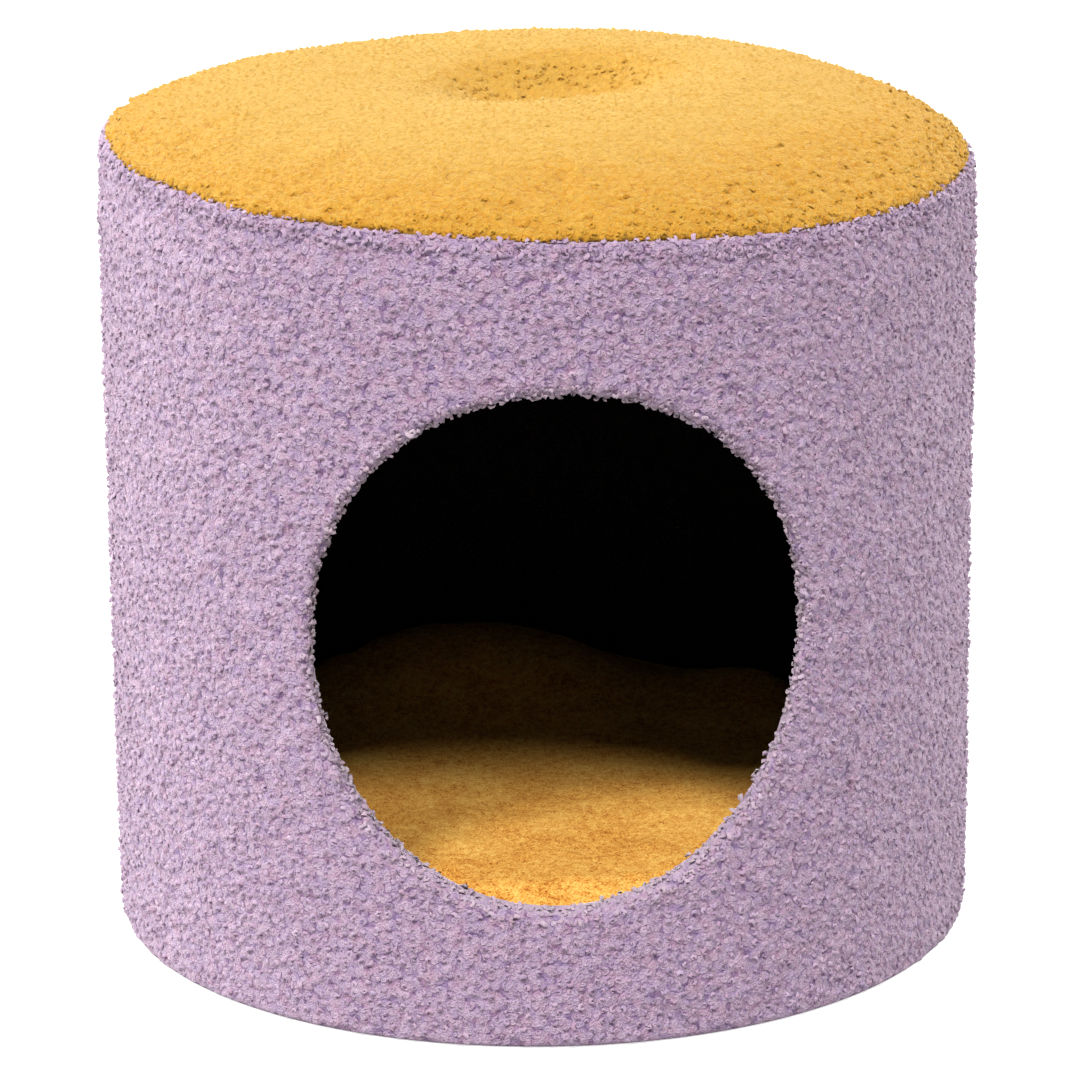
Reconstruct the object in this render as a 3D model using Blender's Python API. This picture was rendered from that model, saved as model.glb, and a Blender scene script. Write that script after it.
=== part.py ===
"""Cat house: a fleece drum with a round doorway, a crowned pad on top and a cushion inside.

Metres, +Z up. The house stands on z = 0 about the Z axis, and its doorway faces -Y.
"""
import math

import bmesh
import bpy

GAP = 0.0003                  # between pieces that touch

# Wall
WALL_RADIUS = 0.200           # over the pile, at its widest
SEAM_RADIUS = 0.1965          # where the wall's cloth meets the pad's
WALL_HEIGHT = 0.360
WALL_THICKNESS = 0.012
INNER_RADIUS = WALL_RADIUS - WALL_THICKNESS
WALL_SHOULDER = 0.030         # the wall draws in to the seam over this height
FOOT_ROUND = 0.0015
TOP_ROUND = 0.004
HEM_ROUND = 0.005             # roundness of the cloth turned in at the doorway

# Doorway, as it is cut in the flat cloth
DOOR_TURN = math.radians(2.35)  # towards +X from the front
DOOR_HEIGHT = 0.1778          # middle of the doorway over the floor
DOOR_RADIUS = 0.1137
DOOR_NARROWER = 0.0018        # the doorway is this much less than round sideways, more upwards
DOOR_LEAN = 0.0011            # fuller at the upper right and lower left
DOOR_EGG = 0.0006             # three-lobed unevenness

# Unevenness of the top: the front sags over the doorway, and the left stands higher
FRONT_SAG = 0.0045
FRONT_SAG_FLAT = math.radians(30)
FRONT_SAG_END = math.radians(95)
LEFT_RISE = 0.0065
SETTLE_START = 0.300          # nothing under this height is moved

# Pad on top
PAD_RADIUS = 0.1965
PAD_SIDE = 0.004              # plain side under the crown, also its lower edge's slant
PAD_CROWN = 0.0262
PAD_CROWN_POWER = 4.6
PAD_EDGE_POWER = 0.72
PAD_RIGHT_FULLER = 0.004
PAD_BACK_FULLER = 0.002
PAD_MIDDLE_FULLER = 0.004     # round the dimple, fading out over the spread below
PAD_MIDDLE_SPREAD = 0.090
DIMPLE_DEPTH = 0.0225
DIMPLE_RIGHT = 0.010          # its middle, from the middle of the pad
DIMPLE_BACK = 0.004
DIMPLE_HALF_WIDTH = 0.046     # side to side
DIMPLE_HALF_LENGTH = 0.036    # front to back
DIMPLE_POWER = 4.0            # how sharp its lip is

# Lining
LINING_THICKNESS = 0.0015
LINING_CLEARANCE = 0.0006     # facets of curved cloth need more than the plain gap
LINING_DOOR_MARGIN = 0.002    # the lining stops this far short of the doorway's edge
CEILING_RINGS = (0.86, 0.72, 0.58, 0.44, 0.30, 0.16)  # shares of its radius, used by the pad's seat too

# Base
BASE_THICKNESS = 0.008
BASE_CLEARANCE = 0.0009

# Cushion inside
CUSHION_RADIUS = 0.179
CUSHION_THICKNESS = 0.050
CUSHION_EDGE_ROUND = 0.026
CUSHION_HUMPS = (
    # x, y, rise, spread in x, spread in y
    (-0.045, 0.125, 0.034, 0.100, 0.065),
    (0.115, 0.110, 0.013, 0.042, 0.060),
    (-0.110, -0.060, 0.006, 0.060, 0.080),
)

# Divisions of the meshes
DOOR_SIDE_DIVISIONS = 14      # up each side of the square of cloth round the doorway
DOOR_WIDTH_DIVISIONS = 18     # across that square
DOOR_RINGS = 8
WRAP_DIVISIONS = 46           # round the rest of the wall
ROUND_SEGMENTS = 3
PAD_RINGS = 18                # as if from the pad's side to its middle, but only down to the zone below
DIMPLE_ZONE = 0.072           # radius that has finer rings for the dimple
DIMPLE_RINGS = 9
CUSHION_EDGE_SEGMENTS = 9
CUSHION_RINGS = 8             # from its rounded edge to its middle
TURN_SEGMENTS = 64            # round the pad, the base and the cushion


def clear_scene():
    for item in list(bpy.data.objects):
        bpy.data.objects.remove(item, do_unlink=True)


def cloth_material(name, colour, roughness):
    material = bpy.data.materials.new(name)
    material.use_nodes = True
    shader = material.node_tree.nodes["Principled BSDF"]
    shader.inputs["Base Color"].default_value = (*colour, 1.0)
    shader.inputs["Roughness"].default_value = roughness
    shader.inputs["Metallic"].default_value = 0.0
    return material


def add_piece(name, bm, material):
    mesh = bpy.data.meshes.new(name)
    bm.to_mesh(mesh)
    bm.free()
    mesh.materials.append(material)
    mesh.shade_smooth()
    bpy.context.scene.collection.objects.link(bpy.data.objects.new(name, mesh))


def smooth_step(value):
    value = min(max(value, 0.0), 1.0)
    return value * value * (3.0 - 2.0 * value)


def turn_from_front(x, y):
    """Angle round the Z axis from -Y, positive towards +X."""
    return math.atan2(x, -y)


def edge_rise(turn):
    """How far the top edge stands over its even height at this angle."""
    sag = (FRONT_SAG_END - abs(turn)) / (FRONT_SAG_END - FRONT_SAG_FLAT)
    return -FRONT_SAG * smooth_step(sag) - LEFT_RISE * math.sin(turn)


def settle(bm):
    """Lowers or lifts the top of the house as its cloth has settled, most at the rim."""
    for vert in bm.verts:
        x, y, z = vert.co
        share = min(max((z - SETTLE_START) / (WALL_HEIGHT - SETTLE_START), 0.0), 1.0)
        reach = min((x * x + y * y) / SEAM_RADIUS ** 2, 1.0)
        vert.co.z += edge_rise(turn_from_front(x, y)) * share ** 2 * reach


def door_outline(direction, margin):
    """Distance of the doorway's edge from its middle, in the flat cloth."""
    radius = DOOR_RADIUS + margin
    radius -= DOOR_NARROWER * math.cos(2 * direction)
    radius += DOOR_LEAN * math.sin(2 * direction)
    radius += DOOR_EGG * math.sin(3 * direction)
    return radius


def square_outline(half_width, low, high):
    """Points round the square of cloth that holds the doorway, in (along, up), from its lower left."""
    points = []
    for step in range(DOOR_WIDTH_DIVISIONS):
        points.append((half_width * (2 * step / DOOR_WIDTH_DIVISIONS - 1), low))
    for step in range(DOOR_SIDE_DIVISIONS):
        points.append((half_width, low + (high - low) * step / DOOR_SIDE_DIVISIONS))
    for step in range(DOOR_WIDTH_DIVISIONS):
        points.append((half_width * (1 - 2 * step / DOOR_WIDTH_DIVISIONS), high))
    for step in range(DOOR_SIDE_DIVISIONS):
        points.append((-half_width, high - (high - low) * step / DOOR_SIDE_DIVISIONS))
    return points


def square_half_turn():
    """Angle from the doorway's middle to the side of the square of cloth that holds it."""
    return math.pi * DOOR_WIDTH_DIVISIONS / (DOOR_WIDTH_DIVISIONS + WRAP_DIVISIONS)


def straight_through(turn, radius):
    """Turns a point on a layer inside the wall's face, so that the doorway runs straight in along Y."""
    door_turn = DOOR_RADIUS / WALL_RADIUS
    share = smooth_step((square_half_turn() - abs(turn)) / (square_half_turn() - door_turn))
    straight = math.asin(max(min(math.sin(turn) * WALL_RADIUS / radius, 1.0), -1.0))
    return turn + (straight - turn) * share


def doorway_tube(low, high, margin, radius_at):
    """One layer of cloth with the doorway in it, wrapped into a tube that faces out."""
    half_width = WALL_RADIUS * square_half_turn()
    step_length = 2 * half_width / DOOR_WIDTH_DIVISIONS
    square = square_outline(half_width, low, high)
    bm = bmesh.new()
    door_ring = bmesh.ops.create_circle(bm, segments=len(square), radius=1.0)["verts"]
    square_ring = bmesh.ops.create_circle(bm, segments=len(square), radius=2.0)["verts"]
    for inner, outer, (along, up) in zip(door_ring, square_ring, square):
        direction = math.atan2(up - DOOR_HEIGHT, along)
        distance = door_outline(direction, margin)
        inner.co = (distance * math.cos(direction), DOOR_HEIGHT + distance * math.sin(direction), 0.0)
        outer.co = (along, up, 0.0)
    bmesh.ops.bridge_loops(bm, edges=bm.edges[:])
    inside = set(door_ring)
    spokes = [edge for edge in bm.edges if (edge.verts[0] in inside) != (edge.verts[1] in inside)]
    bmesh.ops.subdivide_edges(bm, edges=spokes, cuts=DOOR_RINGS - 1, use_grid_fill=True)

    # The rest of the cloth grows from the square's right edge, and meets its left one at the end
    side = [edge for edge in bm.edges if all(abs(v.co.x - half_width) < 1e-6 for v in edge.verts)]
    for _ in range(WRAP_DIVISIONS):
        made = bmesh.ops.extrude_edge_only(bm, edges=side)["geom"]
        grown = {item for item in made if isinstance(item, bmesh.types.BMVert)}
        bmesh.ops.translate(bm, verts=list(grown), vec=(step_length, 0.0, 0.0))
        side = [item for item in made if isinstance(item, bmesh.types.BMEdge) and grown.issuperset(item.verts)]

    for vert in bm.verts:
        up = vert.co.y
        radius = radius_at(up)
        turn = DOOR_TURN + straight_through(vert.co.x / WALL_RADIUS, radius)
        vert.co = (radius * math.sin(turn), -radius * math.cos(turn), up)
    bmesh.ops.remove_doubles(bm, verts=bm.verts[:], dist=1e-5)
    bmesh.ops.recalc_face_normals(bm, faces=bm.faces[:])
    front = min(bm.faces, key=lambda face: face.calc_center_median().y)
    if front.normal.y > 0:
        bmesh.ops.reverse_faces(bm, faces=bm.faces[:])
    return bm


def wall_radius(up):
    """Radius of the wall's face: plain, and drawn in towards the seam at the top."""
    shoulder = max(0.0, (up - WALL_HEIGHT + WALL_SHOULDER) / WALL_SHOULDER)
    return WALL_RADIUS - (WALL_RADIUS - SEAM_RADIUS) * shoulder ** 2


def round_outer_edges(bm, is_edge, size):
    """Rounds the sharp outer edges that pass the given test."""
    edges = []
    for edge in bm.edges:
        middle = (edge.verts[0].co + edge.verts[1].co) / 2
        outer = math.hypot(middle.x, middle.y) > wall_radius(middle.z) - WALL_THICKNESS / 3
        if outer and edge.calc_face_angle(0.0) > math.radians(60) and is_edge(middle):
            edges.append(edge)
    bmesh.ops.bevel(bm, geom=edges, offset=size, offset_type="OFFSET", segments=ROUND_SEGMENTS,
                    profile=0.5, affect="EDGES", clamp_overlap=True, material=-1)


def build_wall_cover():
    """Lilac curly fleece round the wall, turned in at the doorway and over the top."""
    bm = doorway_tube(0.0, WALL_HEIGHT, 0.0, wall_radius)
    bmesh.ops.solidify(bm, geom=bm.faces[:], thickness=WALL_THICKNESS)
    for vert in bm.verts:
        radius = math.hypot(vert.co.x, vert.co.y)
        if radius < wall_radius(vert.co.z) - WALL_THICKNESS / 2:
            turn = turn_from_front(vert.co.x, vert.co.y) - DOOR_TURN
            turn = DOOR_TURN + straight_through(turn, INNER_RADIUS)
            vert.co.x = INNER_RADIUS * math.sin(turn)
            vert.co.y = -INNER_RADIUS * math.cos(turn)
            if vert.co.z > WALL_HEIGHT - WALL_THICKNESS / 3:
                vert.co.z = WALL_HEIGHT
    round_outer_edges(bm, lambda middle: middle.z < 1e-4, FOOT_ROUND)
    round_outer_edges(bm, lambda middle: middle.z > WALL_HEIGHT - 1e-4, TOP_ROUND)
    round_outer_edges(bm, lambda middle: 0.01 < middle.z < WALL_HEIGHT - 0.02, HEM_ROUND)
    settle(bm)
    add_piece("wall_cover", bm, cloth_material("lilac_curly_fleece", (0.56, 0.40, 0.60), 0.95))


def build_lining():
    """Black cloth inside the wall and across under the pad, open at the doorway and at the foot."""
    radius = INNER_RADIUS - LINING_CLEARANCE
    top = WALL_HEIGHT
    bm = doorway_tube(BASE_THICKNESS + GAP, top, LINING_DOOR_MARGIN, lambda up: radius)
    rim = [edge for edge in bm.edges if all(v.co.z > top - 1e-5 for v in edge.verts)]
    for share in CEILING_RINGS:
        made = bmesh.ops.extrude_edge_only(bm, edges=rim)["geom"]
        inner = {item for item in made if isinstance(item, bmesh.types.BMVert)}
        rim = [item for item in made if isinstance(item, bmesh.types.BMEdge) and inner.issuperset(item.verts)]
        for vert in inner:
            scale = share * radius / math.hypot(vert.co.x, vert.co.y)
            vert.co.x *= scale
            vert.co.y *= scale
    bmesh.ops.contextual_create(bm, geom=rim)
    bmesh.ops.solidify(bm, geom=bm.faces[:], thickness=LINING_THICKNESS)
    settle(bm)
    add_piece("lining", bm, cloth_material("black_lining", (0.012, 0.010, 0.010), 0.9))


def turned_solid(section):
    """Closed solid from a half section, a list of (radius, height) from axis to axis."""
    bm = bmesh.new()
    verts = [bm.verts.new((radius, 0.0, up)) for radius, up in section]
    edges = [bm.edges.new(pair) for pair in zip(verts, verts[1:])]
    bmesh.ops.spin(bm, geom=verts + edges, axis=(0, 0, 1), cent=(0, 0, 0), angle=2 * math.pi,
                   steps=TURN_SEGMENTS, use_merge=True)
    bmesh.ops.remove_doubles(bm, verts=bm.verts[:], dist=1e-6)
    bmesh.ops.recalc_face_normals(bm, faces=bm.faces[:])
    return bm


def pad_crown(x, y):
    """Height of the pad's top over its seam."""
    radius = math.hypot(x, y)
    turn = turn_from_front(x, y)
    crown = PAD_CROWN + PAD_RIGHT_FULLER * math.sin(turn) - PAD_BACK_FULLER * math.cos(turn)
    share = min(radius / PAD_RADIUS, 1.0)
    fullness = (1.0 - share ** PAD_CROWN_POWER) ** PAD_EDGE_POWER
    middle = PAD_MIDDLE_FULLER * math.exp(-(radius / PAD_MIDDLE_SPREAD) ** 2)
    off = math.hypot((x - DIMPLE_RIGHT) / DIMPLE_HALF_WIDTH, (y - DIMPLE_BACK) / DIMPLE_HALF_LENGTH)
    return crown * fullness + middle - DIMPLE_DEPTH * math.exp(-off ** DIMPLE_POWER)


def build_top_pad():
    """Mustard curly fleece pad: crowned, with a tufted dimple in its middle."""
    seat = WALL_HEIGHT + GAP
    seat_radii = [(INNER_RADIUS - LINING_CLEARANCE) * share for share in (0.0, *reversed(CEILING_RINGS), 1.0)]
    section = [(radius, seat) for radius in (*seat_radii, PAD_RADIUS - PAD_SIDE)]
    side = seat + PAD_SIDE
    radii = [PAD_RADIUS * math.cos(math.pi / 2 * step / PAD_RINGS) for step in range(PAD_RINGS)]
    radii = [radius for radius in radii if radius > DIMPLE_ZONE + PAD_SIDE]
    radii += [DIMPLE_ZONE * (1 - step / DIMPLE_RINGS) for step in range(DIMPLE_RINGS + 1)]
    for radius in radii:
        section.append((radius, side + PAD_CROWN * (1 - radius / PAD_RADIUS)))
    bm = turned_solid(section)
    for vert in bm.verts:
        if vert.co.z > side - 1e-5:
            vert.co.z = side + pad_crown(vert.co.x, vert.co.y)
    settle(bm)
    add_piece("top_pad", bm, cloth_material("mustard_curly_fleece", (0.95, 0.50, 0.08), 0.95))


def build_base_panel():
    """Covered bottom panel inside the foot of the wall; the cushion lies on it."""
    bm = bmesh.new()
    radius = INNER_RADIUS - BASE_CLEARANCE
    made = bmesh.ops.create_cone(bm, cap_ends=True, segments=TURN_SEGMENTS, radius1=radius, radius2=radius,
                                 depth=BASE_THICKNESS)
    bmesh.ops.translate(bm, verts=made["verts"], vec=(0, 0, BASE_THICKNESS / 2))
    add_piece("base_panel", bm, cloth_material("black_base_cloth", (0.015, 0.013, 0.013), 0.9))


def cushion_height(x, y):
    """Height of the cushion's top over its seat."""
    height = CUSHION_THICKNESS
    for hump_x, hump_y, rise, spread_x, spread_y in CUSHION_HUMPS:
        height += rise * math.exp(-((x - hump_x) / spread_x) ** 2 - ((y - hump_y) / spread_y) ** 2)
    return height


def build_inner_cushion():
    """Mustard plush cushion, slumped on the base and pushed up against the wall at its back."""
    seat = BASE_THICKNESS + GAP
    edge = CUSHION_EDGE_ROUND
    inner = CUSHION_RADIUS - edge
    section = [(0.0, 0.0), (inner * 0.5, 0.0), (inner, 0.0)]
    for step in range(1, CUSHION_EDGE_SEGMENTS + 1):
        angle = math.pi * step / CUSHION_EDGE_SEGMENTS - math.pi / 2
        up = 0.5 + 0.5 * math.sin(angle)
        section.append((inner + edge * math.cos(angle), CUSHION_THICKNESS * up))
    for step in range(1, CUSHION_RINGS + 1):
        section.append((inner * (1 - step / CUSHION_RINGS), CUSHION_THICKNESS))
    bm = turned_solid(section)
    for vert in bm.verts:
        share = vert.co.z / CUSHION_THICKNESS
        vert.co.z = seat + share * cushion_height(vert.co.x, vert.co.y)
    add_piece("inner_cushion", bm, cloth_material("mustard_plush", (0.80, 0.38, 0.07), 0.95))


clear_scene()
build_wall_cover()
build_lining()
build_top_pad()
build_base_panel()
build_inner_cushion()
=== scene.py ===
# Cat house: a padded drum of lilac curly fleece with a round doorway, a mustard fleece
# pad for a roof and a mustard cushion inside. Metres, +Z up, the doorway faces -Y.
import math

import bmesh
import bpy
import numpy as np
from mathutils import Matrix, Vector, noise


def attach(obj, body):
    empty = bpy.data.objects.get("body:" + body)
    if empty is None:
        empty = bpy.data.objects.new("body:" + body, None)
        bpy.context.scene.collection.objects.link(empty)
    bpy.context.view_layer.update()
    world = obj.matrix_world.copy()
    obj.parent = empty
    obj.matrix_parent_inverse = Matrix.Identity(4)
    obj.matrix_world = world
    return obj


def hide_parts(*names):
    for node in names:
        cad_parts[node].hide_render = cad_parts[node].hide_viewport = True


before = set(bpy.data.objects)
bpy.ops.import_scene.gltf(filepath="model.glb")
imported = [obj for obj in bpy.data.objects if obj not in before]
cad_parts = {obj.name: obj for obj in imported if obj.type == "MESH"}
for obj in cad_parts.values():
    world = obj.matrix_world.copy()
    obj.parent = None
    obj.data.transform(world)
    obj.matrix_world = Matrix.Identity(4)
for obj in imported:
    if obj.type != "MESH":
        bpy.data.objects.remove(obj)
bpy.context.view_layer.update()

# Camera, floor and light
# A long lens from the front, a little above the roof. Two soft lamps high in front light the
# cushion through the doorway, two panels from behind the sides, in a white room on white paper.

PHOTO_SIDE = 1080                 # pixels
SENSOR_WIDTH = 36.0               # millimetres
FOCAL_LENGTH = 4688.7             # pixels
CAMERA_DISTANCE = 2.1
CAMERA_HEIGHT = 0.7834
CAMERA_PITCH = 0.28296            # down, in radians
CAMERA_ROLL = -0.00805
FLOOR_SIDE = 12.0
FLOOR_DROP = 0.0008               # so far under the house, so that the two don't share a plane
FLOOR_COLOUR = "BCBCBC"
FLOOR_GLOW = 0.72                 # the camera sees the paper white in the shadow too
WALLS_COLOUR = "FFFFFF"
WALLS_LIGHT = 0.48                # what the walls give, against a backdrop that shows white
FRONT_SHARE = 0.3                 # the room behind the camera is darker
LAMPS = (
    # name, angle from the camera's side towards -X, angle up, how wide it looks, power; all far away
    ("left_lamp", 37, 48, 12, 2.75),
    ("right_lamp", -10, 50, 12, 2.6),
    ("left_panel", 115, 17, 40, 3.6),
    ("right_panel", -115, 15, 40, 2.0),
)


def linear(colour):
    """Turns an sRGB hex colour to linear, with full alpha."""
    parts = [int(colour[start:start + 2], 16) / 255 for start in (0, 2, 4)]
    return (*[p / 12.92 if p <= 0.04045 else ((p + 0.055) / 1.055) ** 2.4 for p in parts], 1.0)


def feed(tree, node, **inputs):
    """Links or sets a node's inputs, each named by its label, or by i and its number."""
    for name, value in inputs.items():
        socket = node.inputs[int(name[1:])] if name[1:].isdigit() else node.inputs[name.replace("_", " ")]
        if isinstance(value, bpy.types.NodeSocket):
            tree.links.new(value, socket)
        else:
            socket.default_value = value


def add(tree, kind, settings=None, **inputs):
    """Adds a shader node with its settings, and feeds its inputs."""
    node = tree.nodes.new("ShaderNode" + kind)
    for name, value in (settings or {}).items():
        setattr(node, name, value)
    feed(tree, node, **inputs)
    return node


def new_material(name):
    """A plain material, with its node tree and its shader."""
    material = bpy.data.materials.new(name)
    material.use_nodes = True
    return material, material.node_tree, material.node_tree.nodes["Principled BSDF"]


def add_object(name, data):
    """Puts a mesh, lamp or camera into the scene."""
    item = bpy.data.objects.new(name, data)
    bpy.context.scene.collection.objects.link(item)
    return item


def add_piece(name, bm, *materials):
    """Turns a finished bmesh into a smooth shaded object."""
    mesh = bpy.data.meshes.new(name)
    bm.to_mesh(mesh)
    bm.free()
    for material in materials:
        mesh.materials.append(material)
    mesh.shade_smooth()
    return add_object(name, mesh)


scene = bpy.context.scene
scene.view_settings.view_transform = "Standard"

camera = add_object("camera", bpy.data.cameras.new("camera"))
camera.data.sensor_width = SENSOR_WIDTH
camera.data.lens = FOCAL_LENGTH / PHOTO_SIDE * SENSOR_WIDTH
camera.data.clip_end = 50.0
ahead = Vector((0.0, math.cos(CAMERA_PITCH), -math.sin(CAMERA_PITCH)))
level = Vector((1.0, 0.0, 0.0))
right = Vector((math.cos(CAMERA_ROLL), 0.0, 0.0)) + ahead.cross(level) * -math.sin(CAMERA_ROLL)
above = right.cross(ahead)
camera.matrix_world = Matrix((right, above, -ahead)).transposed().to_4x4()
camera.location = (0.0, -CAMERA_DISTANCE, CAMERA_HEIGHT)
scene.camera = camera

for name, left, up, width, power in LAMPS:
    lamp = add_object(name, bpy.data.lights.new(name, "SUN"))
    lamp.data.angle = math.radians(width)
    lamp.data.energy = power
    left, up = math.radians(left), math.radians(up)
    way = Vector((-math.sin(left) * math.cos(up), -math.cos(left) * math.cos(up), math.sin(up)))
    lamp.rotation_euler = way.to_track_quat("Z", "Y").to_euler()

walls = bpy.data.worlds.new("white_walls")
walls.use_nodes = True
tree = walls.node_tree
seen = add(tree, "LightPath").outputs["Is Camera Ray"]
from_scene = add(tree, "SeparateXYZ", Vector=add(tree, "TexCoord").outputs["Generated"])
given = add(tree, "MapRange", Value=from_scene.outputs["Y"], From_Min=-1.0, From_Max=0.3,
            To_Min=WALLS_LIGHT * FRONT_SHARE, To_Max=WALLS_LIGHT)
strength = add(tree, "MapRange", Value=seen, To_Min=given.outputs[0], To_Max=1.0)
feed(tree, tree.nodes["Background"], Color=linear(WALLS_COLOUR), Strength=strength.outputs[0])
scene.world = walls

# Matt white paper, evenly lit: the camera sees no shadow on it
paper, tree, shader = new_material("white_paper")
seen = add(tree, "LightPath").outputs["Is Camera Ray"]
glow = add(tree, "MapRange", Value=seen, To_Max=FLOOR_GLOW)
feed(tree, shader, Base_Color=linear(FLOOR_COLOUR), Roughness=0.9, Emission_Color=linear(WALLS_COLOUR),
     Emission_Strength=glow.outputs[0])
floor_mesh = bmesh.new()
bmesh.ops.create_grid(floor_mesh, x_segments=1, y_segments=1, size=FLOOR_SIDE / 2)
bmesh.ops.translate(floor_mesh, verts=floor_mesh.verts[:], vec=(0.0, 0.0, -FLOOR_DROP))
add_piece("floor", floor_mesh, paper)

# Bottom panel
# A board covered in black felt, which closes the foot of the drum. The felt is pressed
# fibre, so it is dull, with a soft grain and no threads.

BASE_TOP = 0.008
BASE_RADIUS = 0.1871
BASE_ROUND = 0.0012
BASE_RING = 0.045                 # width of the rings of faces on its flat sides
FELT_FIBRE = 0.0012               # drawn coarser than real fibre, so that it shows
FELT_PATCH = 0.030
FELT_COLOUR = "1E1B1B"
FELT_LIGHTER = "35302F"

# Pressed felt: dull and nearly black, with a soft grain of short fibres
felt, tree, shader = new_material("pressed_felt")
place = add(tree, "TexCoord").outputs["Object"]
fibres = add(tree, "TexNoise", Vector=place, Scale=1 / FELT_FIBRE, Detail=4.0, Distortion=1.4)
patches = add(tree, "TexNoise", Vector=place, Scale=1 / FELT_PATCH, Detail=3.0)
mixed = add(tree, "Math", {"operation": "MULTIPLY"}, i0=fibres.outputs["Fac"], i1=patches.outputs["Fac"])
tones = add(tree, "ValToRGB", Fac=mixed.outputs[0])
tones.color_ramp.elements[0].position, tones.color_ramp.elements[0].color = 0.15, linear(FELT_COLOUR)
tones.color_ramp.elements[1].position, tones.color_ramp.elements[1].color = 0.45, linear(FELT_LIGHTER)
grain = add(tree, "Bump", Strength=0.6, Distance=0.0005, Height=fibres.outputs["Fac"])
feed(tree, shader, Base_Color=tones.outputs["Color"], Normal=grain.outputs["Normal"], Roughness=0.95,
     Sheen_Weight=0.15)

bm = bmesh.new()
bmesh.ops.create_cone(bm, cap_ends=True, segments=128, radius1=BASE_RADIUS, radius2=BASE_RADIUS, depth=BASE_TOP)
bmesh.ops.translate(bm, verts=bm.verts[:], vec=(0.0, 0.0, BASE_TOP / 2))
caps = [face for face in bm.faces if len(face.verts) > 4]
bmesh.ops.bevel(bm, geom=[edge for face in caps for edge in face.edges], offset=BASE_ROUND, segments=3,
                profile=0.5, affect="EDGES", material=-1)
for _ in range(3):
    caps = [face for face in bm.faces if len(face.verts) > 4]
    bmesh.ops.inset_region(bm, faces=caps, thickness=BASE_RING, use_even_offset=True)
base_panel = add_piece("base_panel_felt", bm, felt)
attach(base_panel, "root")
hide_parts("base_panel")

# Lining
# Black woven cloth, loose inside the drum and across its ceiling, stitched to the fleece
# round the doorway. A fine plain weave that swallows light, slack enough to ripple.

WALL_RADIUS = 0.200
SEAM_RADIUS = 0.1965
WALL_HEIGHT = 0.360
WALL_SHOULDER = 0.030
INNER_RADIUS = 0.188
DOOR_TURN = math.radians(2.35)    # towards +X from the front
DOOR_HEIGHT = 0.1778
DOOR_RADIUS = 0.1137
DOOR_LOBES = ((2, math.pi / 2, -0.0018), (2, 0.0, 0.0011), (3, 0.0, 0.0006))  # lobes, start, size
FRONT_SAG = 0.0045
FRONT_SAG_FLAT = math.radians(30)
FRONT_SAG_END = math.radians(95)
LEFT_RISE = 0.0065
SETTLE_START = 0.300
STRAIGHT_END = math.pi * 18 / 64  # past this turn the cloth is plain round
LINING_RADIUS = 0.1874
LINING_LOW = 0.0083
LINING_THICKNESS = 0.0014
LINING_MARGIN = 0.002
LINING_STEP = 0.0075
LINING_RIPPLE = 0.0009
LINING_RIPPLE_SCALE = 2.2         # ripples in a length of the wall's radius
LINING_HELD = 0.05                # it ripples less this near to its edges
LINING_EDGE_BAND = 0.02           # its open edge is this near to the ceiling
CEILING_RINGS = (0.86, 0.72, 0.58, 0.44, 0.30, 0.16)  # shares of the radius
DOOR_EVENED = 3                   # steps of cloth round the doorway that are evened out
DOOR_PASSES = 4
SLUB_LENGTH = 0.006               # thicker and thinner places along a thread
LINING_COLOUR = "0E0C0C"
LINING_LIGHTER = "1C1918"
THREAD_SPACING = 0.0012           # drawn coarser than real thread, so that it shows


def smooth_step(value):
    """Goes from 0 to 1 with a soft start and end."""
    value = min(max(value, 0.0), 1.0)
    return value * value * (3.0 - 2.0 * value)


def edge_rise(turn):
    """How far the top edge stands over its even height at this angle from the front."""
    sag = (FRONT_SAG_END - abs(turn)) / (FRONT_SAG_END - FRONT_SAG_FLAT)
    return -FRONT_SAG * smooth_step(sag) - LEFT_RISE * math.sin(turn)


def settled(x, y, z):
    """Height of a point once the cloth at the top of the house has sagged."""
    share = min(max((z - SETTLE_START) / (WALL_HEIGHT - SETTLE_START), 0.0), 1.0)
    reach = min((x * x + y * y) / SEAM_RADIUS ** 2, 1.0)
    return z + edge_rise(math.atan2(x, -y)) * share ** 2 * reach


def door_edge(direction, margin=0.0):
    """Distance of the doorway's edge from its middle, in the flat cloth."""
    return DOOR_RADIUS + margin + sum(size * math.sin(lobes * direction + start) for lobes, start, size in DOOR_LOBES)


def straight_through(turn, radius):
    """Turns a point on an inner layer, so that the doorway runs straight in along Y."""
    door_turn = DOOR_RADIUS / WALL_RADIUS
    share = smooth_step((STRAIGHT_END - abs(turn)) / (STRAIGHT_END - door_turn))
    straight = math.asin(max(min(math.sin(turn) * WALL_RADIUS / radius, 1.0), -1.0))
    return turn + (straight - turn) * share


def wrapped(along, up, radius):
    """Where a point of the flat cloth lies on a drum of this radius."""
    turn = DOOR_TURN + straight_through(along / WALL_RADIUS, radius)
    x, y = radius * math.sin(turn), -radius * math.cos(turn)
    return Vector((x, y, settled(x, y, up)))


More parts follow.
